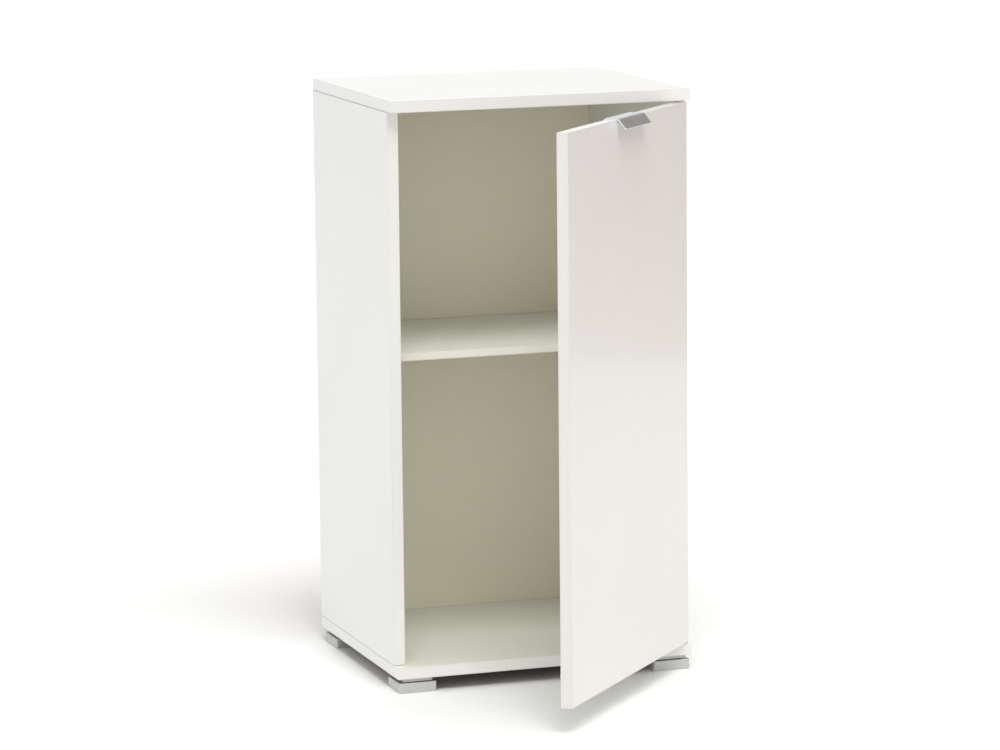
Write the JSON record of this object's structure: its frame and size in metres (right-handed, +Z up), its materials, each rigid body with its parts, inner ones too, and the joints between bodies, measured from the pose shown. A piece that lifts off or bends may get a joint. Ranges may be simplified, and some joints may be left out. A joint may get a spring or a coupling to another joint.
{
  "type": "locker cabinet",
  "caption": "Small white storage cabinet with a full-height hinged door with an edge pull, a loose inner shelf and square silver feet.",
  "frame": {"origin": "on the floor, under the middle of the carcass footprint", "axes": "+Z up, +Y from the front towards the back panel, +X to the right seen from the front"},
  "size_m": [0.4, 0.6276, 0.7565],
  "materials": {
    "melamine": "chipboard faced in satin white melamine, with edge bands",
    "door_melamine": "chipboard faced in semi-gloss white melamine",
    "back_board": "matt white lacquered hardboard",
    "shelf_melamine": "chipboard faced in satin white melamine",
    "foot_silver": "silver paint, fine grain",
    "neck_silver": "silver-grey moulded plastic",
    "pull_aluminium": "satin anodised",
    "hinge_steel": "nickel-plated pressed steel",
    "plate_zinc": "nickel-plated die casting",
    "link_steel": "pressed steel",
    "pin_steel": "bright steel",
    "screw_steel": "zinc-plated steel",
    "cam_zinc": "die-cast zinc",
    "dowel_wood": "fluted beech",
    "buffer_clear": "clear soft plastic"
  },
  "bodies": {
    "carcass": {"top_board": "melamine", "bottom_board": "melamine", "left_side": "melamine", "right_side": "melamine", "back_panel": "back_board", "front_left_foot": "foot_silver", "front_right_foot": "foot_silver", "back_left_foot": "foot_silver", "back_right_foot": "foot_silver", "front_left_foot_neck": "neck_silver", "front_right_foot_neck": "neck_silver", "back_left_foot_neck": "neck_silver", "back_right_foot_neck": "neck_silver", "upper_hinge_arm": "hinge_steel", "lower_hinge_arm": "hinge_steel", "upper_mounting_plate": "plate_zinc", "lower_mounting_plate": "plate_zinc", "hinge_arm_pins": "pin_steel", "shelf_pegs": "pin_steel", "mounting_plate_screws": "screw_steel", "arm_fixing_screws": "screw_steel", "arm_adjusting_screws": "screw_steel", "foot_screws": "screw_steel", "cam_bolts": "screw_steel", "cam_locks": "cam_zinc", "dowels": "dowel_wood"},
    "outer_links": {"upper_outer_link": "link_steel", "lower_outer_link": "link_steel"},
    "inner_links": {"upper_inner_link": "link_steel", "lower_inner_link": "link_steel"},
    "door": {"door_panel": "door_melamine", "upper_hinge_cup": "hinge_steel", "lower_hinge_cup": "hinge_steel", "hinge_cup_pins": "pin_steel", "hinge_cup_screws": "screw_steel", "edge_pull": "pull_aluminium", "edge_pull_screws": "screw_steel", "door_buffers": "buffer_clear"},
    "shelf": {"shelf": "shelf_melamine"}
  },
  "joints": [
    {"name": "door_swing", "type": "hinge", "parent": "outer_links", "child": "door", "pos_m": [0.18259, -0.16231, 0.387], "axis": [0, 0, 1], "range_deg": [-63.44, 62.91]},
    {"name": "outer_link_turn", "type": "hinge", "parent": "carcass", "child": "outer_links", "pos_m": [0.168, -0.1315, 0.387], "axis": [0, 0, 1], "range_deg": [-15.62, 15.75]},
    {"name": "inner_link_turn", "type": "hinge", "parent": "carcass", "child": "inner_links", "pos_m": [0.173, -0.1517, 0.387], "axis": [0, 0, 1], "range_deg": [-23.19, 23.38]},
    {"name": "shelf_lift", "type": "slide", "parent": "carcass", "child": "shelf", "axis": [0, 0, 1], "range_m": [0, 0.06]}
  ],
  "couplings": [
    {"joint": "outer_link_turn", "follows": "door_swing", "ratio": -0.24812},
    {"joint": "inner_link_turn", "follows": "door_swing", "ratio": -0.36842}
  ]
}
